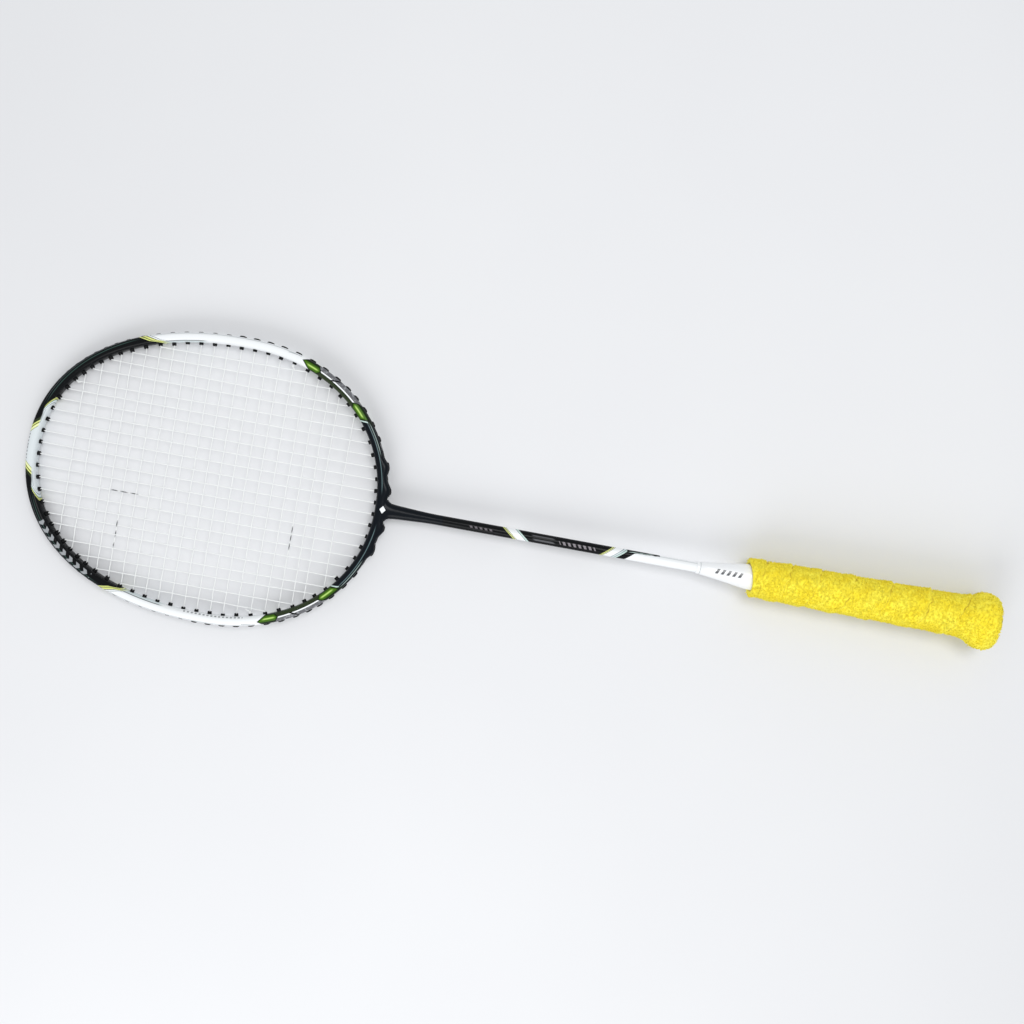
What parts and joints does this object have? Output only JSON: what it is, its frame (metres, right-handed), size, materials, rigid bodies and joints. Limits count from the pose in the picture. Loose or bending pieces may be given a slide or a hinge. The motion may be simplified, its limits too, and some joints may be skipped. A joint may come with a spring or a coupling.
{
  "type": "badminton racket",
  "caption": "Strung badminton racket: oval hollow head with a string groove, thin shaft, cone, and a flared handle in towelling.",
  "frame": {"origin": "middle of the butt's flat end face, on the shaft's axis", "axes": "+X along the shaft to the tip of the head, +Z square to the string bed, +Y across the head"},
  "size_m": [0.675, 0.1956, 0.0396],
  "materials": {
    "head_lacquer": "gloss lacquer over carbon fibre, black with white, green and yellow bands",
    "shaft_lacquer": "gloss lacquer over carbon fibre, black with white bands, white towards the handle",
    "white_gloss": "gloss",
    "string": "braided nylon, slightly glossy",
    "grommet_nylon": "moulded nylon, satin",
    "wood": "bare, sanded",
    "cap_plastic": "moulded, satin",
    "towel": "cotton terry towelling, long loops"
  },
  "bodies": {
    "root": {"head_frame": "head_lacquer", "tee_joint": "head_lacquer", "shaft": "shaft_lacquer", "cone_cap": "white_gloss", "main_string": "string", "cross_string": "string", "handle_core": "wood", "butt_cap": "cap_plastic", "towel_grip": "towel", "grommet_right_01": "grommet_nylon", "grommet_right_02": "grommet_nylon", "grommet_right_03": "grommet_nylon", "grommet_right_04": "grommet_nylon", "grommet_right_05": "grommet_nylon", "grommet_right_06": "grommet_nylon", "grommet_right_07": "grommet_nylon", "grommet_right_08": "grommet_nylon", "grommet_right_09": "grommet_nylon", "grommet_right_10": "grommet_nylon", "grommet_right_11": "grommet_nylon", "grommet_right_12": "grommet_nylon", "grommet_right_13": "grommet_nylon", "grommet_right_14": "grommet_nylon", "grommet_right_15": "grommet_nylon", "grommet_right_16": "grommet_nylon", "grommet_right_17": "grommet_nylon", "grommet_right_18": "grommet_nylon", "grommet_left_01": "grommet_nylon", "grommet_left_02": "grommet_nylon", "grommet_left_03": "grommet_nylon", "grommet_left_04": "grommet_nylon", "grommet_left_05": "grommet_nylon", "grommet_left_06": "grommet_nylon", "grommet_left_07": "grommet_nylon", "grommet_left_08": "grommet_nylon", "grommet_left_09": "grommet_nylon", "grommet_left_10": "grommet_nylon", "grommet_left_11": "grommet_nylon", "grommet_left_12": "grommet_nylon", "grommet_left_13": "grommet_nylon", "grommet_left_14": "grommet_nylon", "grommet_left_15": "grommet_nylon", "grommet_left_16": "grommet_nylon", "grommet_left_17": "grommet_nylon", "grommet_left_18": "grommet_nylon", "grommet_strip_right_side": "grommet_nylon", "grommet_strip_right_tip": "grommet_nylon", "grommet_strip_left_side": "grommet_nylon", "grommet_strip_left_tip": "grommet_nylon"}
  },
  "joints": []
}
